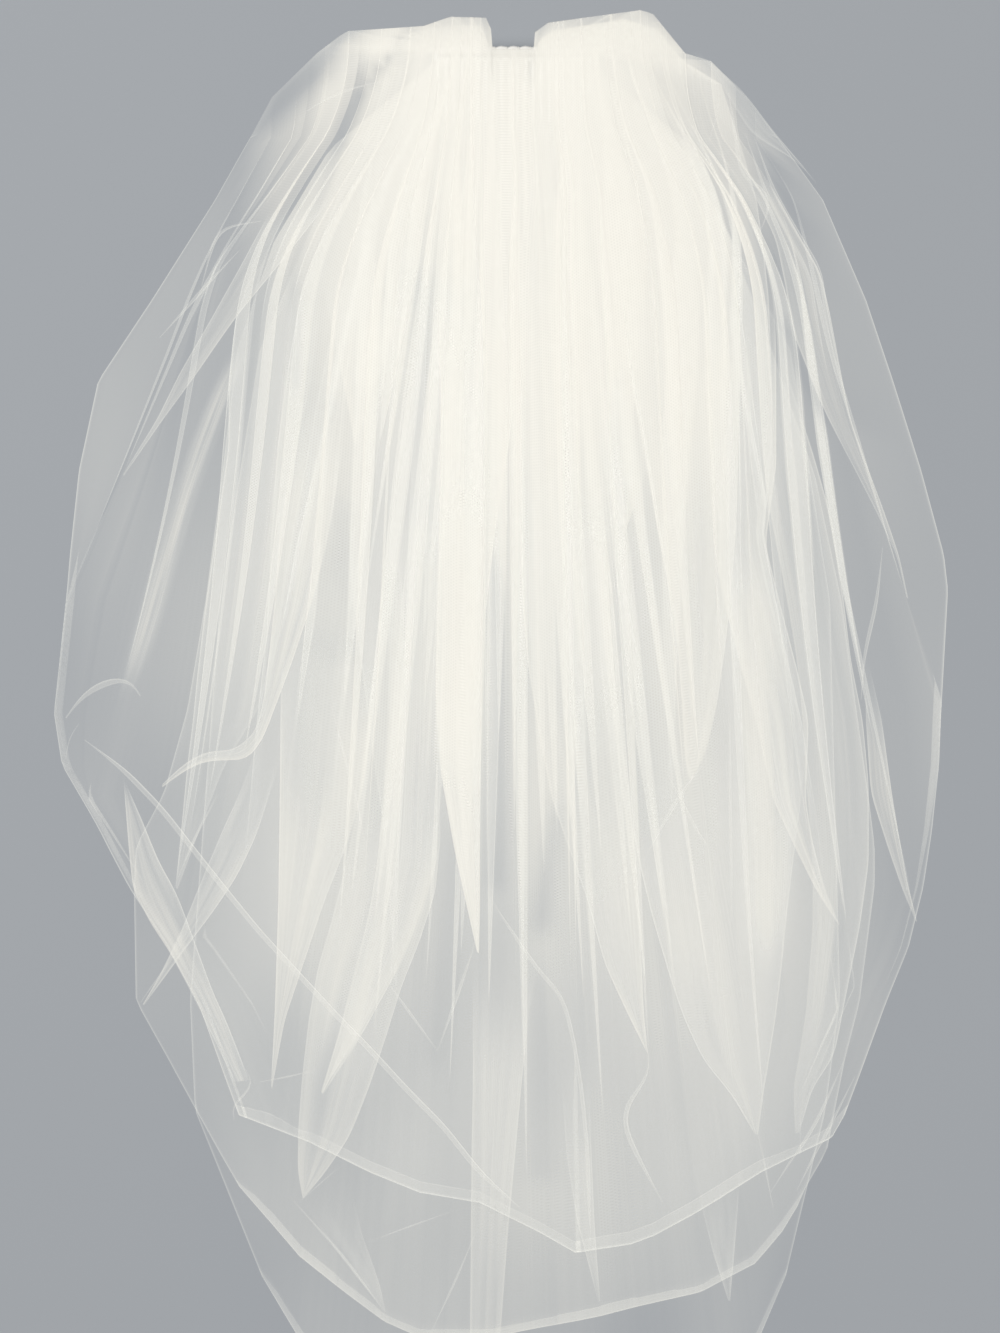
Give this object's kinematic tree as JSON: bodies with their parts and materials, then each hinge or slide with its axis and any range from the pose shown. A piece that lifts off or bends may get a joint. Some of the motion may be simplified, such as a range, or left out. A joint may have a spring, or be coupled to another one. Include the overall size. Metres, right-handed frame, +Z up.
{
  "type": "bridal veil",
  "caption": "Sheer tulle bridal veil in tiers, gathered with two puffs on a hair comb and laid flat with long radiating folds and rounded hems.",
  "frame": {"origin": "middle of the laid-out veil's box, on the surface that it lies on", "axes": "+Y along the veil towards the comb, -Y towards the hems, +X to the right seen from above with the comb away, +Z up from the surface"},
  "size_m": [0.5348, 0.8805, 0.0506],
  "materials": {
    "tulle": "sheer soft nylon net, warm white, matt with a faint sheen",
    "thread": "gathered net bound with white sewing thread",
    "comb_plastic": "smooth pale moulded comb"
  },
  "bodies": {
    "root": {"short_tier": "tulle", "long_tier": "tulle", "under_tier": "tulle", "inner_folds": "tulle", "gather_roll": "thread", "comb": "comb_plastic"}
  },
  "joints": []
}
